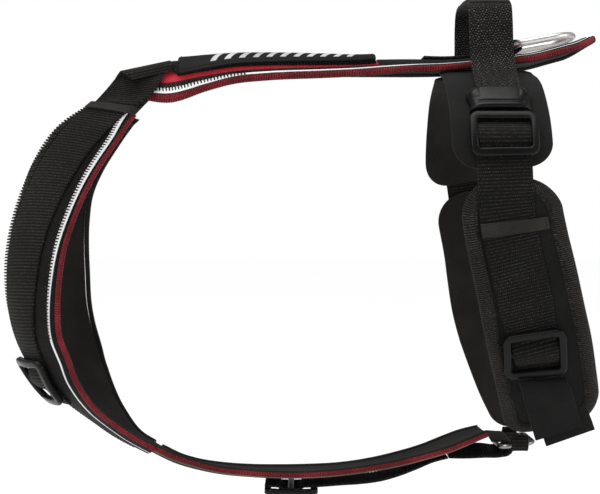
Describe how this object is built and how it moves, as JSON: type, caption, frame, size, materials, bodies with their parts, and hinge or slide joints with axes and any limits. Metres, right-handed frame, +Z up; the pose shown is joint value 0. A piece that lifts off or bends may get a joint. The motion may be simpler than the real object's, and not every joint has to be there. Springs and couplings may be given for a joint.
{
  "type": "dog harness",
  "caption": "Padded Y-front dog harness, black with red piping, in its worn shape, with a back handle, a steel leash ring and webbing sliders.",
  "frame": {"origin": "middle of the back pad's underside, where the harness rests on the wearer's back", "axes": "+X from head to tail along the back, +Y to the right side of the wearer, +Z up"},
  "size_m": [0.4506, 0.2136, 0.3823],
  "materials": {
    "black_fabric": "matt black padded polyester, faintly ribbed",
    "black_webbing": "black woven webbing with a soft sheen",
    "red_binding": "dark red ribbed edge binding",
    "red_fabric": "bright red fabric of the back pad",
    "grey_trim": "grey reflective trim and bands",
    "hook_patch": "black hook-and-loop patch under the label",
    "black_plastic": "moulded black nylon, satin",
    "steel": "polished nickel-plated steel wire"
  },
  "bodies": {
    "harness": {"back_pad": "red_fabric", "back_binding": "red_binding", "label_base": "hook_patch", "label": "black_fabric", "ring_tab": "black_webbing", "handle": "black_webbing", "belly_pad": "black_fabric", "belly_binding_near": "red_binding", "belly_binding_far": "red_binding", "belly_webbing": "black_webbing", "belly_slide": "black_plastic", "belly_loop": "black_webbing", "belly_ring": "steel", "shoulder_pad_near": "black_fabric", "shoulder_pad_far": "black_fabric", "shoulder_binding_near": "red_binding", "shoulder_binding_far": "red_binding", "shoulder_trim_near": "grey_trim", "shoulder_trim_far": "grey_trim", "shoulder_webbing_near": "black_webbing", "shoulder_webbing_far": "black_webbing", "chest_slide_near": "black_plastic", "chest_slide_far": "black_plastic", "shoulder_keeper_near": "grey_trim", "shoulder_keeper_far": "grey_trim", "withers_loop_near": "black_webbing", "withers_loop_far": "black_webbing", "upper_girth_pad_near": "black_fabric", "upper_girth_pad_far": "black_fabric", "lower_girth_pad_near": "black_fabric", "lower_girth_pad_far": "black_fabric", "girth_webbing_near": "black_webbing", "girth_webbing_far": "black_webbing", "buckle_frame_near": "black_plastic", "buckle_frame_far": "black_plastic", "girth_slide_near": "black_plastic", "girth_slide_far": "black_plastic", "buckle_socket_near": "black_plastic", "buckle_socket_far": "black_plastic", "elastic_keeper_near": "black_webbing", "elastic_keeper_far": "black_webbing", "loose_end_near": "black_webbing", "loose_end_far": "black_webbing", "folded_end_near": "black_webbing", "folded_end_far": "black_webbing", "ring_link_near": "black_webbing", "ring_link_far": "black_webbing"},
    "leash_ring": {"leash_ring": "steel"}
  },
  "joints": [
    {"name": "leash_ring_hinge", "type": "hinge", "parent": "harness", "child": "leash_ring", "pos_m": [0.16575, -0.0003, 0.01361], "axis": [0, -1, 0], "range_deg": [0, 80]}
  ]
}
